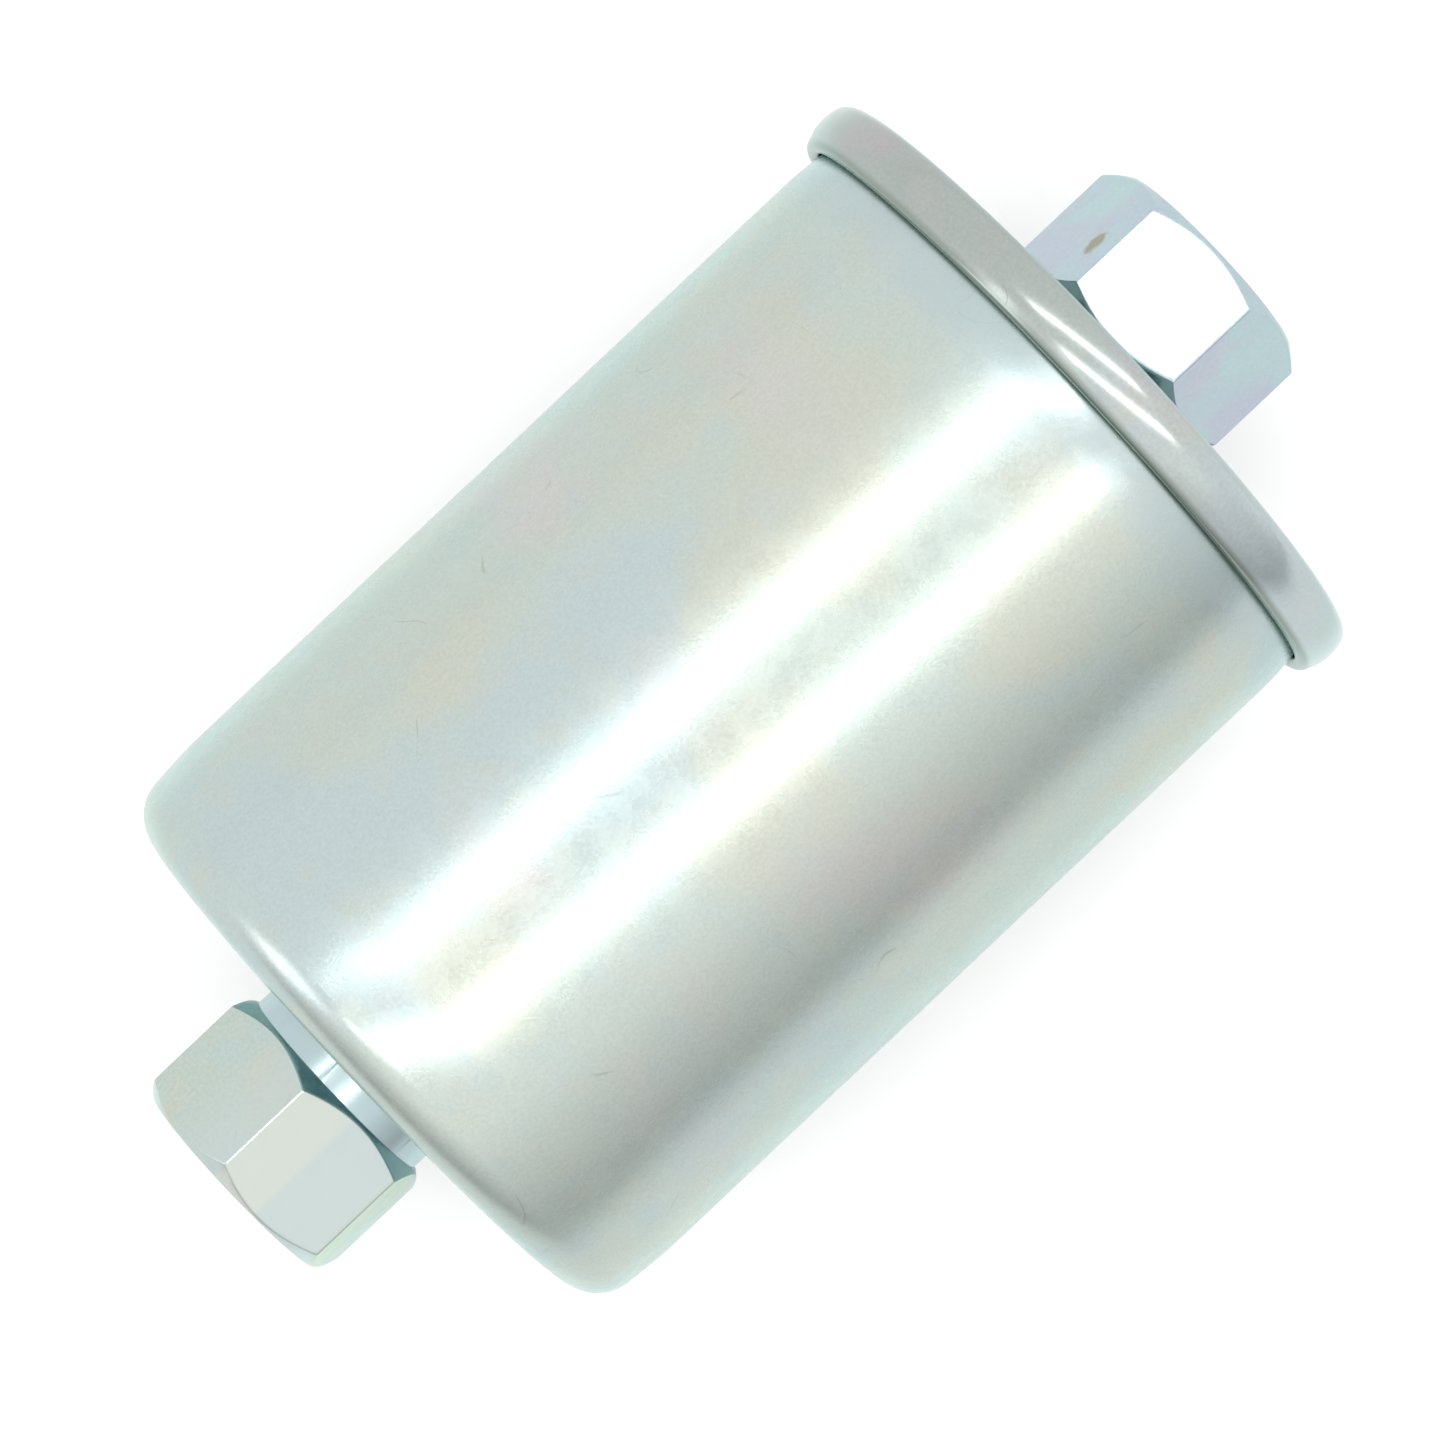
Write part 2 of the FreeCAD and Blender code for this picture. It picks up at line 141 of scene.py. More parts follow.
# ---- element's spring ----
SPRING_R = 9.4 * MM                 # to the wire's centre
SPRING_WIRE = 1.2 * MM
ACTIVE_COILS = 2.5
SEAT_COILS = 1.0                    # closed and ground flat, at each end

# ---- how finely the meshes are divided ----
AROUND = 360                        # steps round the can and the cover
BEND_STEPS = 10                     # in each bend of a sheet
SHEET_RUN = 2.0 * MM                # about how far apart a sheet's straight runs are divided
EDGE_STEPS = 3                      # in each rounded edge of a fitting
HEX_EDGE_STEPS = 10                 # round each long edge of a hexagon
HEX_FLAT_STEPS = 26                 # across each of its flats
THREAD_ROWS = 160                   # along a port's wall
THREAD_CROWDING = 1.6               # above 1, the rows get closer towards the mouth
COIL_STEPS = 96                     # in each turn of the spring
WIRE_SIDES = 16
SHARP_ANGLE = math.radians(40)      # from which an edge isn't shaded as round


# ---- meshes ----
def bend(before, corner, after, radius, steps):
    """Points round a corner, each with the direction from the arc's centre."""
    back = (before - corner).normalized()
    onward = (after - corner).normalized()
    half = back.angle(onward) / 2
    centre = corner + (back + onward).normalized() * (radius / math.sin(half))
    first = (corner + back * (radius / math.tan(half)) - centre).normalized()
    last = (corner + onward * (radius / math.tan(half)) - centre).normalized()
    sweep = math.pi - 2 * half
    points = []
    for i in range(steps + 1):
        t = i / steps
        out = (first * math.sin((1 - t) * sweep) + last * math.sin(t * sweep)) / math.sin(sweep)
        points.append((centre + out * radius, out))
    return points


def sheet_outline(corners):
    """Closed outline of a bent sheet, whose mid-line goes through corners of (x, r, bend radius)."""
    points = [Vector((x, r)) for x, r, bend_r in corners]

    def left_of(start, finish):
        along = (finish - start).normalized()
        return Vector((-along.y, along.x))

    stations = [(points[0], left_of(points[0], points[1]))]
    for before, corner, after, (x, r, bend_r) in zip(points, points[1:], points[2:], corners[1:]):
        arc = bend(before, corner, after, bend_r, BEND_STEPS)
        left_turn = (corner - before).cross(after - corner) > 0
        stations += [(p, -out if left_turn else out) for p, out in arc]
    stations.append((points[-1], left_of(points[-2], points[-1])))
    divided = []
    for (start, normal), (finish, next_normal) in zip(stations, stations[1:]):
        count = max(1, round((finish - start).length / SHEET_RUN))
        shares = [i / count for i in range(count)]
        divided += [(start.lerp(finish, share), normal.lerp(next_normal, share)) for share in shares]
    divided.append(stations[-1])
    left = [p + n * SHEET / 2 for p, n in divided]
    right = [p - n * SHEET / 2 for p, n in divided]
    return [(p.x, p.y) for p in left + right[::-1]]


def rounded_outline(corners):
    """Closed outline through corners of (x, r, edge radius)."""
    points = [Vector((x, r)) for x, r, edge_r in corners]
    outline = []
    for i, (x, r, edge_r) in enumerate(corners):
        after = points[(i + 1) % len(points)]
        if edge_r:
            outline += [p for p, out in bend(points[i - 1], points[i], after, edge_r, EDGE_STEPS)]
        else:
            outline.append(points[i])
    return [(p.x, p.y) for p in outline]


def turned(name, outline_at, angles):
    """A piece turned about the X axis. outline_at gives the closed outline at a clock angle."""
    verts, faces = [], []
    for angle in angles:
        verts += [(x, r * math.sin(angle), r * math.cos(angle)) for x, r in outline_at(angle)]
    around, along = len(angles), len(verts) // len(angles)
    for i in range(around):
        for j in range(along):
            here, there = i * along, (i + 1) % around * along
            step = (j + 1) % along
            faces.append((here + j, here + step, there + step, there + j))
    return new_piece(name, verts, faces)


def new_piece(name, verts, faces):
    """A piece from its mesh, with flat faces that shade flat next to rounded edges."""
    mesh = bpy.data.meshes.new(name)
    mesh.from_pydata(verts, [], faces)
    mesh.validate()
    mesh.shade_smooth()
    mesh.set_sharp_from_angle(angle=SHARP_ANGLE)
    piece = bpy.data.objects.new(name, mesh)
    bpy.context.collection.objects.link(piece)
    normals = piece.modifiers.new("even_shading", "WEIGHTED_NORMAL")
    normals.keep_sharp = True
    normals.weight = 100                # the largest faces win
    return piece


def full_turn(count):
    return [2 * math.pi * i / count for i in range(count)]


def can_shell():
    """Drawn cup with its folded edge."""
    x_base = X_BASE + SHEET / 2
    x_curl = X_RIM - SHEET * 1.5 - SEAM_GAP
    neck_r = CAN_WALL_R - NECKING
    curl_r = (CAN_HOOK_R - neck_r) / 2 * 0.99      # just short of half, so that its two bends don't meet
    outline = sheet_outline([
        (x_base, SHANK_R, 0),
        (x_base, CAN_WALL_R - DRAW_TAPER, BASE_BEND_R - SHEET / 2),
        (X_TAPER, CAN_WALL_R, TAPER_BEND_R),
        (X_NECK, CAN_WALL_R, NECK_BEND_R),
        (X_NECKED, CAN_WALL_R - SEAM_NECK, SEAM_BEND_R),
        (X_STRAIGHT, neck_r, SEAM_BEND_R),
        (x_curl, neck_r, curl_r),
        (x_curl, CAN_HOOK_R, curl_r),
        (CAN_HOOK_TIP, CAN_HOOK_R, 0),
    ])

    def outline_at(angle):
        """The outline, its wall a little uneven: mostly inwards, and at most half of WALL_WAVE outwards."""
        across = Vector((0, math.sin(angle), math.cos(angle))) * CAN_R
        uneven = []
        for x, r in outline:
            on_wall = r > CAN_R - 2 * SHEET
            fade = min(max((X_NECK - abs(x)) / WALL_WAVE_L, 0), 1) if on_wall else 0
            wave = noise.noise((across + Vector((x, 0, 0))) / WALL_WAVE_L)
            uneven.append((x, r + (wave - 0.5) * WALL_WAVE * fade))
        return uneven

    return turned("can_shell", outline_at, full_turn(AROUND))


def rolled_cover():
    """Stamped cover, whose edge is rolled round the can's as the bright rim."""
    x_middle = X_COVER - SHEET / 2
    x_groove = X_RIM - GROOVE_DEPTH
    x_top = X_RIM - SHEET / 2
    x_lip = X_SEAM + SHEET / 2
    half_turn = (CROWN_SEAM_SLOPE + CROWN_TOP_SLOPE) / 2
    tilt = (CROWN_SEAM_SLOPE - CROWN_TOP_SLOPE) / 2
    # where the crown's two end slopes would meet
    x_crown = X_SEAM + CROWN_FROM_SEAM - CROWN_R * math.sin(tilt) / math.cos(half_turn)
    crown_peak = CREST_R + CROWN_R * (math.cos(tilt) / math.cos(half_turn) - 1)
    outline = sheet_outline([
        (x_middle, SHANK_R, 0),
        (x_middle, RISE_R, 1.5 * MM),
        (x_groove, GROOVE_R, 1.2 * MM),
        (x_groove, CHUCK_WALL_R, 1.2 * MM),
        (x_top, CHUCK_WALL_R, 1.0 * MM),
        (x_top, crown_peak - (x_top - x_crown) * math.tan(CROWN_TOP_SLOPE), 0.95 * MM),
        (x_crown, crown_peak, CROWN_R),
        (x_lip, crown_peak - (x_crown - x_lip) * math.tan(CROWN_SEAM_SLOPE), LIP_BEND_R),
        (x_lip, COVER_HOOK_R - 0.9 * SEAM_NECK, LIP_BEND_R),      # tight against the can's neck
        (COVER_HOOK_TIP, COVER_HOOK_R, 0),
    ])
    return turned("rolled_cover", lambda angle: outline, full_turn(AROUND))


def hex_angles(edge_angle):
    """Clock angles for a hexagon's mesh: close together round each long edge, wider on the flats."""
    inner = HEX_AF / 2 - HEX_EDGE_R
    tangent = math.atan(inner * math.tan(math.pi / 6) / (HEX_AF / 2))
    edge_half = math.pi / 6 - tangent
    offsets = [edge_half * (i / (HEX_EDGE_STEPS / 2) - 1) for i in range(HEX_EDGE_STEPS)]
    offsets += [edge_half + 2 * tangent * i / HEX_FLAT_STEPS for i in range(HEX_FLAT_STEPS)]
    return [edge_angle + math.pi / 3 * side + offset for side in range(6) for offset in offsets]


def hex_radius(angle, edge_angle):
    """Distance from the axis to the hexagon's surface, its long edges rounded."""
    from_edge = (angle - edge_angle + math.pi / 6) % (math.pi / 3) - math.pi / 6
    centre = (HEX_AF / 2 - HEX_EDGE_R) / math.cos(math.pi / 6)
    across = centre * math.sin(from_edge)
    flat = HEX_AF / 2 / math.cos(math.pi / 6 - abs(from_edge))
    if abs(across) >= HEX_EDGE_R:
        return flat
    return min(flat, centre * math.cos(from_edge) + math.sqrt(HEX_EDGE_R ** 2 - across ** 2))


def thread_radius(depth, angle, turn_sign):
    """Wall of the threaded port at a depth from its face. The thread is right-handed at either end."""
    turns = depth / THREAD_PITCH + turn_sign * angle / (2 * math.pi)
    from_crest = abs((turns + 0.5) % 1 - 0.5)
    cut = min(max((from_crest - CREST_HALF) / FLANK, 0), 1)
    runout = min(max((PORT_DEPTH - depth) / THREAD_PITCH - THREAD_END, 0), 1)
    mouth = PORT_R + PORT_CHAMFER - depth
    return max(PORT_R + THREAD_DEPTH * cut * runout, mouth)


def fitting(name, edge_angle, behind, x_face, inward):
    """Hexagon fitting. Depths run from its port face, and behind gives its corners past the collar."""
    seat = HEX_L + COLLAR_L
    hold = 0.4 * MM         # rings this far from the rounded edges keep the flat faces' shading flat

    def outline_at(angle):
        hex_r = hex_radius(angle, edge_angle)
        chamfer = (hex_r - HEX_FACE_R) * HEX_CHAMFER_SLOPE
        corners = [
            (0, PORT_R + PORT_CHAMFER, 0.12 * MM),
            (0, PORT_R + PORT_CHAMFER + hold, 0),
            (0, HEX_FACE_R - hold, 0),
            (0, HEX_FACE_R, 0.1 * MM),
            (chamfer, hex_r, 0.35 * MM),
            (chamfer + hold, hex_r, 0),
            (HEX_L - chamfer - hold, hex_r, 0),
            (HEX_L - chamfer, hex_r, 0.25 * MM),
            (HEX_L, HEX_FACE_R, 0.03 * MM),
            (HEX_L, COLLAR_R, 0.03 * MM),
            (seat, COLLAR_R, 0.2 * MM),
            (seat, SHANK_R, 0),
            *[(seat + x, r, edge_r) for x, r, edge_r in behind],
            (PILOT_DEPTH, PASSAGE_R, 0.1 * MM),
            (PILOT_DEPTH, PILOT_R, 0),
            (PORT_DEPTH, PILOT_R, 0.1 * MM),
        ]
        wall = []
        for i in range(THREAD_ROWS):
            depth = PORT_DEPTH * (1 - i / THREAD_ROWS) ** THREAD_CROWDING
            wall.append((depth, thread_radius(depth, angle, inward)))
        return [(x_face + inward * depth, r) for depth, r in rounded_outline(corners) + wall][::inward]

    return turned(name, outline_at, hex_angles(edge_angle))


def inlet_port():
    return fitting("inlet_port", INLET_HEX_ANGLE, [
        (INLET_SHANK_L, SHANK_R, 0.3 * MM), (INLET_SHANK_L, PASSAGE_R, 0.1 * MM),
    ], X_INLET, 1)


def outlet_port():
    """Behind its shank it has the nozzle that the element's grommet rides on."""
    tip = OUTLET_SHANK_L + NOZZLE_L
    return fitting("outlet_port", OUTLET_HEX_ANGLE, [
        (OUTLET_SHANK_L, SHANK_R, 0.1 * MM), (OUTLET_SHANK_L, NOZZLE_R, 0),
        (tip - NOZZLE_CHAMFER, NOZZLE_R, 0.1 * MM), (tip, NOZZLE_R - NOZZLE_CHAMFER, 0.1 * MM),
        (tip, PASSAGE_R, 0),
    ], X_OUTLET, -1)


def coil_spring():
    """Spring between the can's base and the element's closed cap, its end coils ground flat."""
    grind = SPRING_WIRE / 4
    x_first = X_SPRING_FIXED + SPRING_WIRE / 2 - grind
    seat_pitch = SPRING_WIRE + SEAM_GAP
    rise = X_SPRING_FREE - X_SPRING_FIXED - SPRING_WIRE + 2 * grind
    active_pitch = (rise - 2 * SEAT_COILS * seat_pitch) / ACTIVE_COILS
    rings = round((ACTIVE_COILS + 2 * SEAT_COILS) * COIL_STEPS)
    verts = []
    for i in range(rings + 1):
        turn = i / COIL_STEPS
        active = min(max(turn - SEAT_COILS, 0), ACTIVE_COILS)
        pitch = active_pitch if 0 < active < ACTIVE_COILS else seat_pitch
        angle = 2 * math.pi * turn
        outward = Vector((0, math.cos(angle), math.sin(angle)))
        lead = pitch / (2 * math.pi * SPRING_R)
        onward = Vector((lead, -math.sin(angle), math.cos(angle))).normalized()
        across = onward.cross(outward)
        centre = outward * SPRING_R
        centre.x = x_first + seat_pitch * (turn - active) + active_pitch * active
        for clock in full_turn(WIRE_SIDES):
            point = centre + (outward * math.cos(clock) + across * math.sin(clock)) * SPRING_WIRE / 2
            verts.append((min(max(point.x, X_SPRING_FIXED), X_SPRING_FREE), point.y, point.z))
    last = rings * WIRE_SIDES
    faces = [tuple(reversed(range(WIRE_SIDES))), tuple(range(last, last + WIRE_SIDES))]
    for i in range(rings):
        for j in range(WIRE_SIDES):
            here, step = i * WIRE_SIDES + j, i * WIRE_SIDES + (j + 1) % WIRE_SIDES
            faces.append((here, step, step + WIRE_SIDES, here + WIRE_SIDES))
    return new_piece("coil_spring", verts, faces)


# ---- materials ----
class Nodes:
    """The nodes of a material or world, added and linked in one call each."""

    def __init__(self, owner, place="Object"):
        owner.use_nodes = True
        self.owner = owner
        self.tree = owner.node_tree
        self.place = self.add("ShaderNodeTexCoord").outputs[place]

    def add(self, kind, links=(), **settings):
        """Adds a node. links maps its inputs to other nodes' outputs or to values."""
        node = self.tree.nodes.new(kind)
        for key, value in settings.items():
            setattr(node, key, value)
        for key, value in dict(links).items():
            if isinstance(value, bpy.types.NodeSocket):
                self.tree.links.new(value, node.inputs[key])
            else:
                node.inputs[key].default_value = value
        return node

    def noise(self, vector, scale, detail=3.0, roughness=0.5, distortion=0.0):
        links = {
            "Vector": vector, "Scale": scale, "Detail": detail, "Roughness": roughness,
            "Distortion": distortion,
        }
        return self.add("ShaderNodeTexNoise", links).outputs["Fac"]

    def between(self, value, low, high, to_low=0.0, to_high=1.0):
        """Maps low..high smoothly to to_low..to_high, clamped."""
        links = {"Value": value, "From Min": low, "From Max": high, "To Min": to_low, "To Max": to_high}
        return self.add("ShaderNodeMapRange", links, interpolation_type="SMOOTHSTEP").outputs["Result"]

    def mix(self, fac, a, b):
        node = self.add("ShaderNodeMix", {"Factor": fac}, data_type="RGBA")
        for key, value in (("A", a), ("B", b)):
            socket = next(s for s in node.inputs if s.name == key and s.type == "RGBA")
            if isinstance(value, bpy.types.NodeSocket):
                self.tree.links.new(value, socket)
            else:
                socket.default_value = (*value, 1)
        return next(s for s in node.outputs if s.type == "RGBA")

    def math(self, operation, a, b):
        return self.add("ShaderNodeMath", {0: a, 1: b}, operation=operation).outputs["Value"]

    def scaled(self, color, factor):
        node = self.add("ShaderNodeVectorMath", {0: color, "Scale": factor}, operation="SCALE")
        return node.outputs["Vector"]

    def times(self, vector, factors):
        node = self.add("ShaderNodeVectorMath", {0: vector, 1: factors}, operation="MULTIPLY")
        return node.outputs["Vector"]

    def length(self, vector):
        return self.add("ShaderNodeVectorMath", {0: vector}, operation="LENGTH").outputs["Value"]

    def toward(self, direction):
        """How far the place lies in a direction."""
        node = self.add("ShaderNodeVectorMath", {0: self.place, 1: direction}, operation="DOT_PRODUCT")
        return node.outputs["Value"]

    def moved(self, offset):
        links = {0: self.place, 1: offset}
        return self.add("ShaderNodeVectorMath", links, operation="ADD").outputs["Vector"]

    def along(self, axis):
        """One coordinate of the piece's own place, in metres."""
        return self.add("ShaderNodeSeparateXYZ", {"Vector": self.place}).outputs[axis]

    def from_axis(self):
        """Distance from the filter's axis."""
        return self.length(self.times(self.place, (0, 1, 1)))

    def scuffs(self):
        """Factor that is 1, and less on a few short curved hairlines."""
        path = self.noise(self.moved((0.6, 0.1, 0.7)), 1 / (14 * MM), 2, 0.5, 0.5)
        off_path = self.math("ABSOLUTE", self.math("SUBTRACT", path, 0.5), 0)
        line = self.between(off_path, 0, 0.006, 1, 0)
        some = self.between(self.noise(self.moved((0.2, 0.8, 0.5)), 1 / (7 * MM), 2), 0.60, 0.70)
        return self.between(self.math("MULTIPLY", line, some), 0, 1, 1, 0.80)

    def cone(self, x_tip, sign, r_tip, slope, wide):
        """1 on the chamfer that meets r_tip at x_tip, and widens away from it.

        sign is towards x_tip, slope the chamfer's length over its drop, and wide how far off it may lie."""
        radius = self.from_axis()
        past_tip = self.math("MULTIPLY", self.math("SUBTRACT", self.along("X"), x_tip), sign / slope)
        on_cone = self.between(self.math("ADD", radius, past_tip), r_tip - wide, r_tip - wide / 4)
        return self.math("MULTIPLY", on_cone, self.between(radius, r_tip - wide / 2, r_tip))

    def bump(self, height, distance, onto=None):
        links = {"Height": height, "Distance": distance}
        if onto:
            links["Normal"] = onto
        return self.add("ShaderNodeBump", links).outputs["Normal"]

    def finish(self, color, roughness, normal=None, **constants):
        """Links the shader's inputs. constants are set on its own sockets."""
        shader = self.tree.nodes["Principled BSDF"]
        for key, value in (("Base Color", color), ("Roughness", roughness), ("Normal", normal)):
            if isinstance(value, bpy.types.NodeSocket):
                self.tree.links.new(value, shader.inputs[key])
            elif value is not None:
                shader.inputs[key].default_value = value
        for key, value in constants.items():
            shader.inputs[key.replace("_", " ")].default_value = value
        return self.owner


def plated(name, tints, patch, rough, grain, wave, mottled, extras):
    """Zinc plate with a thin clear-blue film, whose tint drifts over the surface in soft patches.

    patch is the patches' size, and mottled the strength of the small ones in them. grain and wave are the
    heights of its fine and its coarse unevenness. Each of extras is given the nodes and the colour, and
    changes the colour."""
    n = Nodes(bpy.data.materials.new(name))
    base, blue, straw, rose = tints
    color = base
    for i, (tint, size, low, high, most) in enumerate((
        (blue, patch, 0.48, 0.64, 0.9),
        (straw, patch * 0.8, 0.50, 0.66, 0.9),
        (rose, patch * 0.9, 0.54, 0.70, 0.9),
        (blue, patch * 0.25, 0.50, 0.75, mottled),
        (straw, patch * 0.22, 0.50, 0.75, mottled),
    )):
        place = n.moved((0.37 * i + 0.1, 0.23 * i, 0.51 * i))
        color = n.mix(n.between(n.noise(place, 1 / size, 3, 0.45, 0.3), low, high, 0, most), color, tint)
    speckle = n.noise(n.place, 1 / (0.30 * MM), 3, 0.65)
    color = n.scaled(color, n.between(speckle, 0.3, 0.7, 0.96, 1.04))
    color = n.scaled(color, n.scuffs())
    for extra in extras:
        color = extra(n, color)
    mottle = n.noise(n.place, 1 / (2.2 * MM), 3, 0.55)
    roughness = n.between(mottle, 0.3, 0.7, rough * 0.9, rough * 1.1)
    normal = n.bump(speckle, grain, onto=n.bump(mottle, wave))
    return n.finish(color, roughness, normal, Metallic=1.0, Specular_Tint=(*EDGE_TINT, 1))


def plain_material(name, color_a, color_b, size, rough, metallic, grain):
    """Two close colours in soft patches over a fine grain."""
    n = Nodes(bpy.data.materials.new(name))
    color = n.mix(n.noise(n.place, 1 / size, 4, 0.6), color_a, color_b)
    fine = n.noise(n.place, 6 / size, 3, 0.6)
    roughness = n.between(fine, 0.3, 0.7, rough * 0.85, rough * 1.15)
    return n.finish(color, roughness, n.bump(fine, grain), Metallic=metallic)


# ---- the visible pieces ----
CAN_TINTS = ((0.475, 0.535, 0.495), (0.45, 0.53, 0.535), (0.51, 0.53, 0.465), (0.52, 0.52, 0.50))
RIM_TINTS = ((0.39, 0.43, 0.41), (0.385, 0.435, 0.45), (0.42, 0.43, 0.40), (0.44, 0.41, 0.42))
INLET_TINTS = ((0.46, 0.53, 0.485), (0.44, 0.53, 0.52), (0.51, 0.52, 0.44), (0.49, 0.51, 0.48))
OUTLET_TINTS = ((0.43, 0.525, 0.565), (0.43, 0.55, 0.56), (0.45, 0.48, 0.56), (0.47, 0.48, 0.55))
EDGE_TINT = (0.84, 0.95, 0.94)      # the film's colour where a surface turns away
SEAM_BLUE = (0.42, 0.51, 0.53)
# painted shade for the groove between the can and the rolled seam
SEAM_SHADE = (0.26, 0.30, 0.27)
COLLAR_TINT = (0.42, 0.52, 0.54)
DRAINED_STRAW = (0.56, 0.595, 0.54)
DRAINED_BLUE = (0.49, 0.56, 0.555)
DRAINED_GREEN = (0.43, 0.51, 0.37)
RECESS_SHADE = (0.30, 0.46, 0.48)    # painted shade on the chamfers that face the sheet metal, for the dark can base and gap that they reflect
RECESS_SHADE_BAND = 0.14 * MM
STAIN = (0.31, 0.30, 0.23)
STAIN_AT = Vector((46.9, 7.26, 6.86)) * MM      # on the outlet hexagon
STAIN_SIZE = Vector((1.2, 0.9, 0.9)) * MM


def can_film(n, color):
    """The film is bluer on the wall next to the seam, up to a ragged edge."""
    raggedness = n.math("MULTIPLY", n.noise(n.place, 1 / (6 * MM), 3), 8 * MM)
    ragged = n.math("ADD", n.along("X"), raggedness)
    return n.mix(n.between(ragged, X_SEAM - 1.5 * MM, X_SEAM + 3 * MM, 0, 0.65), color, SEAM_BLUE)


def seam_shade(n, color):
    """Painted shade in the groove between the can and the rolled seam."""
    into_rim = n.between(n.along("X"), X_SEAM + 0.25 * MM, X_SEAM + 0.80 * MM, 1, 0)
    into_wall = n.between(n.along("X"), X_SEAM - 0.30 * MM, X_SEAM, 0, 1)
    outside = n.between(n.from_axis(), CAN_R - 1.2 * SHEET, CAN_R - SHEET)
    in_groove = n.math("MULTIPLY", outside, n.math("MULTIPLY", into_rim, into_wall))
    return n.mix(in_groove, color, SEAM_SHADE)


def rim_one_side_lighter(n, color):
    """The cover's colour is lighter towards the -Y side."""
    return n.scaled(color, n.between(n.along("Y"), -22 * MM, 15 * MM, 1.20, 0.94))


def inlet_film(n, color):
    """The film drained across the inlet's hexagon, and is bluer on its collar.

    It goes from warm to blue over each of the two upper flats, and is green on the one below them."""
    x_collar = X_INLET + HEX_L
    drained = n.mix(n.between(n.along("Y"), 2.0 * MM, 8.0 * MM, 0.7, 0), color, DRAINED_BLUE)
    drained = n.mix(n.between(n.along("Y"), 1.2 * MM, 1.4 * MM, 0.8, 0), drained, DRAINED_STRAW)
    drained = n.mix(n.between(n.along("Y"), -3.3 * MM, -2.6 * MM, 0.9, 0), drained, DRAINED_BLUE)
    drained = n.mix(n.between(n.along("Y"), -9.0 * MM, -8.2 * MM, 1, 0), drained, DRAINED_GREEN)
    on_flats = n.between(n.from_axis(), HEX_FACE_R, HEX_FACE_R + 0.2 * MM)
    on_top = n.between(n.along("Z"), 0, 2 * MM)
    color = n.mix(n.math("MULTIPLY", on_flats, on_top), color, drained)
    color = n.mix(n.between(n.along("X"), x_collar - 0.4 * MM, x_collar), color, COLLAR_TINT)
    # painted shade on the chamfer that faces the can
    return n.mix(n.cone(x_collar, 1, HEX_FACE_R, HEX_CHAMFER_SLOPE, RECESS_SHADE_BAND), color, RECESS_SHADE)


def outlet_film(n, color):
    """The outlet's hexagon has a small brown flaw in the plate."""
    distance = n.length(n.times(n.moved(-STAIN_AT), [1 / size for size in STAIN_SIZE]))
    ragged = n.math("ADD", distance, n.noise(n.place, 1 / (0.7 * MM), 2))
    color = n.mix(n.between(ragged, 1.1, 1.7, 1, 0), color, STAIN)
    # painted shade on the chamfer that faces the cover
    return n.mix(n.cone(X_OUTLET - HEX_L, -1, HEX_FACE_R, HEX_CHAMFER_SLOPE, RECESS_SHADE_BAND), color, RECESS_SHADE)


# Each with the CAD node that it replaces, its slot and its material.
PIECES = (
    (can_shell(), "can", "can_zinc", plated(
        "can_zinc", CAN_TINTS, patch=20 * MM, rough=0.27, grain=0.006 * MM, wave=0.004 * MM, mottled=0.45,
        extras=[can_film, seam_shade])),
    (rolled_cover(), "end_cover", "cover_zinc", plated(
        "cover_zinc", RIM_TINTS, patch=14 * MM, rough=0.19, grain=0.0015 * MM, wave=0.003 * MM, mottled=0.2,
        extras=[rim_one_side_lighter, seam_shade])),
    (inlet_port(), "inlet_fitting", "inlet_zinc", plated(
        "inlet_zinc", INLET_TINTS, patch=9 * MM, rough=0.24, grain=0.002 * MM, wave=0.002 * MM, mottled=0.0,
        extras=[inlet_film])),
    (outlet_port(), "outlet_fitting", "outlet_zinc", plated(
        "outlet_zinc", OUTLET_TINTS, patch=9 * MM, rough=0.22, grain=0.002 * MM, wave=0.002 * MM, mottled=0.0,
        extras=[outlet_film])),
    (coil_spring(), "element_spring", "spring_steel", plain_material(
        "spring_wire", (0.40, 0.40, 0.42), (0.50, 0.50, 0.51),
        size=2 * MM, rough=0.32, metallic=1, grain=0.01 * MM)),
)
for piece, node, slot, material in PIECES:
    piece.data.materials.append(material)
    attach(piece, "housing")
    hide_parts(node)

# The element presses the spring against the can's base.
spring = bpy.data.objects["coil_spring"]
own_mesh(spring)

# ---- the CAD pieces that are shown as they are, all inside the sheet metal ----
INNER_MATERIALS = {
    "seam_compound": plain_material(
        "compound", (0.50, 0.48, 0.42), (0.58, 0.56, 0.50),
        size=3 * MM, rough=0.7, metallic=0, grain=0.05 * MM),
    "braze": plain_material(
        "copper_braze", (0.62, 0.32, 0.18), (0.74, 0.42, 0.25),
        size=2 * MM, rough=0.4, metallic=1, grain=0.05 * MM),
    "paper": plain_material(
        "filter_paper", (0.80, 0.70, 0.44), (0.88, 0.79, 0.55),
        size=2 * MM, rough=0.9, metallic=0, grain=0.06 * MM),
    "tinplate": plain_material(
        "tinplate", (0.62, 0.62, 0.63), (0.68, 0.68, 0.68),
        size=6 * MM, rough=0.3, metallic=1, grain=0.001 * MM),
    "plastisol": plain_material(
        "plastisol", (0.30, 0.08, 0.07), (0.38, 0.12, 0.10),
        size=3 * MM, rough=0.5, metallic=0, grain=0.04 * MM),
    "nitrile": plain_material(
        "nitrile", (0.02, 0.02, 0.02), (0.035, 0.035, 0.035),
        size=2 * MM, rough=0.6, metallic=0, grain=0.02 * MM),
}
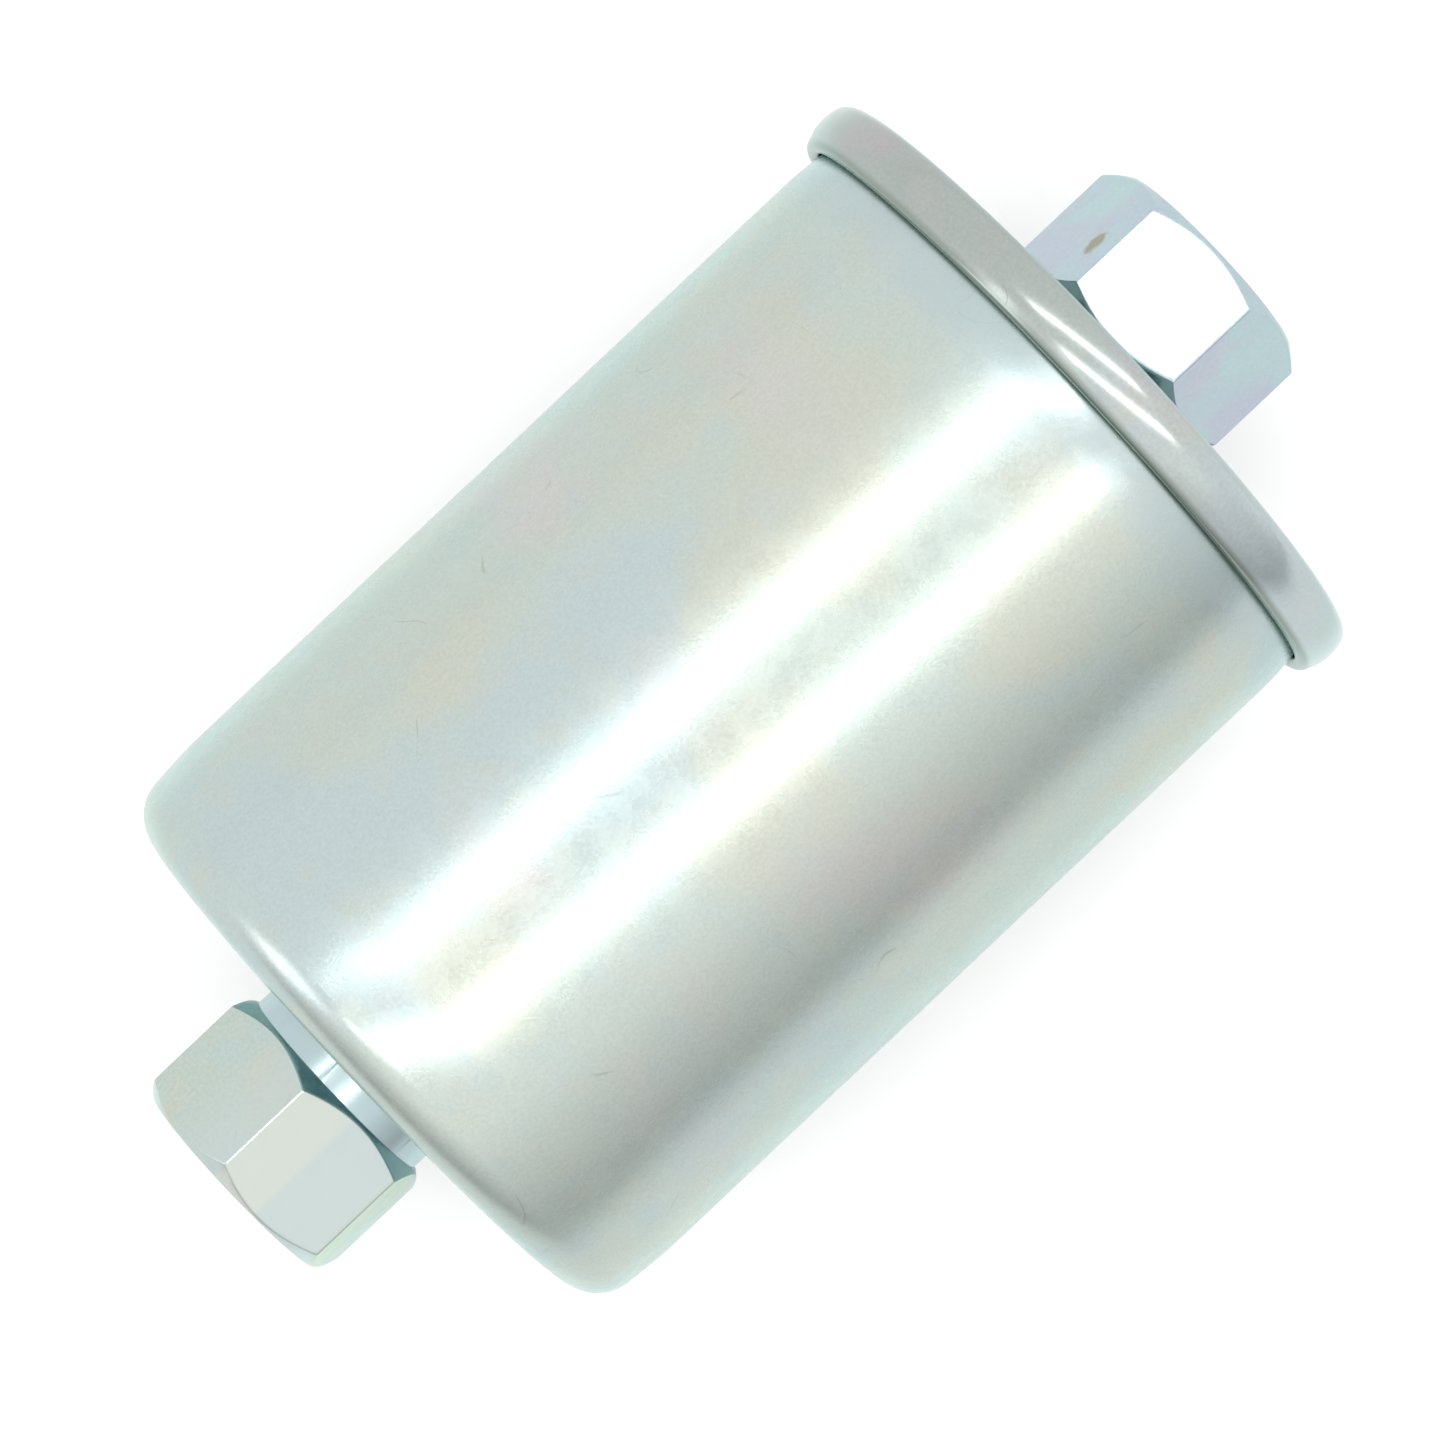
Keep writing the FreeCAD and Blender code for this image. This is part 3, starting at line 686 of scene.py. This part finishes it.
INNER_NODES = {
    "seam_compound": "seam_compound", "inlet_braze": "braze", "outlet_braze": "braze",
    "pleated_media": "paper", "seam_clip": "tinplate", "core_tube": "tinplate",
    "closed_end_cap": "tinplate", "open_end_cap": "tinplate",
    "closed_end_potting": "plastisol", "open_end_potting": "plastisol", "outlet_grommet": "nitrile",
}
for node, material in INNER_NODES.items():
    slots = frame["nodes"][node].data.materials
    slots.clear()
    slots.append(INNER_MATERIALS[material])


# ---- floor, light and camera ----
ROLL = math.radians(43.31)          # the filter's axis, up from the picture's horizontal
PICTURE_RIGHT = Vector((math.cos(ROLL), -math.sin(ROLL), 0))
PICTURE_UP = Vector((math.sin(ROLL), math.cos(ROLL), 0))
CAMERA_AT = Vector((-7.75, 0, 506)) * MM
CAMERA_TO = Vector((-0.06, -0.09, 0)) * MM
LENS = 159.0
TENT = 1.2                          # radiance of the surroundings
VIEWER_SIDE = (
    (0.0, 0.55), (0.25, 0.73), (0.45, 0.84), (0.60, 0.99), (0.70, 1.12), (0.82, 1.10), (0.92, 1.0),
)
VIEWER_SIDE_EDGE = (0.1, 0.65)      # of the direction's share towards the viewer
STRIP_RADIANCE = 6.3
STRIP_LENGTH = 1.1                  # of each strip light, as a share of its distance, as is its width
STRIP_WIDTH = 0.064
SIDE_RADIANCE = 1.3
SIDE_LENGTH = 0.50
SIDE_WIDTH = 0.34
SIDE_DISTANCE = 1.0
SIDE_TILT = math.radians(62)        # from straight up
SIDE_CLOCK = math.radians(36)       # from -X towards +Y
FLOOR_REACH = 3.0
# painted light on the floor round the filter, lifting the shade that the filter casts
FLOOR_PAINTED_LIGHT = (0.98, 0.98, 0.98)
FLOOR_PAINTED_LIGHT_EDGE = (45 * MM, 75 * MM)
FLOOR_PAINTED_LIGHT_SHAPE = (0.7, 1, 0)     # longer along X
NEAR_FLOOR = (0.83, 0.83, 0.83)
# painted shade: the floor goes to this darker colour away from the light, towards the viewer
FAR_FLOOR = (0.43, 0.44, 0.44)
FAR_FLOOR_EDGE = (60 * MM, 360 * MM)


def camera():
    data = bpy.data.cameras.new("camera")
    data.lens = LENS
    data.clip_start, data.clip_end = 10 * MM, 20
    cam = bpy.data.objects.new("camera", data)
    back = (CAMERA_AT - CAMERA_TO).normalized()
    right = (PICTURE_RIGHT - back * PICTURE_RIGHT.dot(back)).normalized()
    up = back.cross(right)
    cam.matrix_world = Matrix.Translation(CAMERA_AT) @ Matrix((right, up, back)).transposed().to_4x4()
    bpy.context.collection.objects.link(cam)
    bpy.context.scene.camera = cam


def floor():
    """Plain pale table top that the rolled rim rests on, with painted light round the filter that lifts the
    shade the filter casts there.

    Its colour is painted darker away from the light, towards the viewer: painted shade."""
    mesh = bpy.data.meshes.new("floor")
    signs = ((-1, -1), (1, -1), (1, 1), (-1, 1))
    corners = [(x * FLOOR_REACH, y * FLOOR_REACH, -RIM_R) for x, y in signs]
    mesh.from_pydata(corners, [], [(0, 1, 2, 3)])
    table = bpy.data.objects.new("floor", mesh)
    bpy.context.collection.objects.link(table)
    n = Nodes(bpy.data.materials.new("floor"))
    distance = n.length(n.times(n.place, FLOOR_PAINTED_LIGHT_SHAPE))
    color = n.mix(n.between(n.toward(-PICTURE_UP), *FAR_FLOOR_EDGE), NEAR_FLOOR, FAR_FLOOR)
    color = n.mix(n.between(distance, *FLOOR_PAINTED_LIGHT_EDGE), FLOOR_PAINTED_LIGHT, color)
    color = n.scaled(color, n.between(n.noise(n.place, 8, 2), 0, 1, 0.98, 1.02))
    mesh.materials.append(n.finish(color, 0.9))


def soft_box(name, away, distance, turn, size_x, size_y, radiance):
    """A rectangular light that faces the filter from a distance, in the direction away."""
    data = bpy.data.lights.new(name, "AREA")
    data.shape = "RECTANGLE"
    data.size, data.size_y = size_x, size_y
    data.energy = radiance * math.pi * size_x * size_y
    lamp = bpy.data.objects.new(name, data)
    lamp.matrix_world = Matrix.Translation(away * distance) @ turn.to_4x4()
    bpy.context.collection.objects.link(lamp)


def strip_light(name, above, distance):
    """A long soft box across the picture, this far above its middle as the camera sees it."""
    away = (PICTURE_UP * math.tan(above) + Vector((0, 0, 1))).normalized()
    turn = Matrix((PICTURE_RIGHT, away.cross(PICTURE_RIGHT), away)).transposed()
    soft_box(name, away, distance, turn, STRIP_LENGTH * distance, STRIP_WIDTH * distance, STRIP_RADIANCE)


def side_box():
    """A low soft box beyond the inlet, up the picture, which the can's base corner shows."""
    outward = math.sin(SIDE_TILT)
    away = Vector((-outward * math.cos(SIDE_CLOCK), outward * math.sin(SIDE_CLOCK), math.cos(SIDE_TILT)))
    turn = away.to_track_quat("Z", "Y").to_matrix()
    soft_box("side_box", away, SIDE_DISTANCE, turn, SIDE_WIDTH, SIDE_LENGTH, SIDE_RADIANCE)


def surroundings():
    """A white tent, darker near the horizon on the viewer's side.

    VIEWER_SIDE gives its radiance there, as pairs of a direction's Z and a share of the tent's."""
    world = bpy.data.worlds.new("tent")
    bpy.context.scene.world = world
    n = Nodes(world, "Generated")
    ramp = n.add("ShaderNodeValToRGB", {"Fac": n.along("Z")})
    brightest = max(share for height, share in VIEWER_SIDE)
    steps = ramp.color_ramp.elements
    while len(steps) < len(VIEWER_SIDE):
        steps.new(1)
    for step, (height, share) in zip(steps, VIEWER_SIDE):
        step.position = height
        step.color = (*[share / brightest] * 3, 1)
    on_viewer_side = n.between(n.toward(-PICTURE_UP), *VIEWER_SIDE_EDGE)
    shares = n.mix(on_viewer_side, [1 / brightest] * 3, ramp.outputs["Color"])
    background = n.tree.nodes["Background"]
    n.tree.links.new(shares, background.inputs["Color"])
    background.inputs["Strength"].default_value = TENT * brightest


camera()
floor()
strip_light("strip_above", above=math.radians(11.8), distance=3.0)
strip_light("strip_below", above=math.radians(-14.5), distance=0.58)
side_box()
surroundings()
view = bpy.context.scene.view_settings
view.view_transform = "Standard"
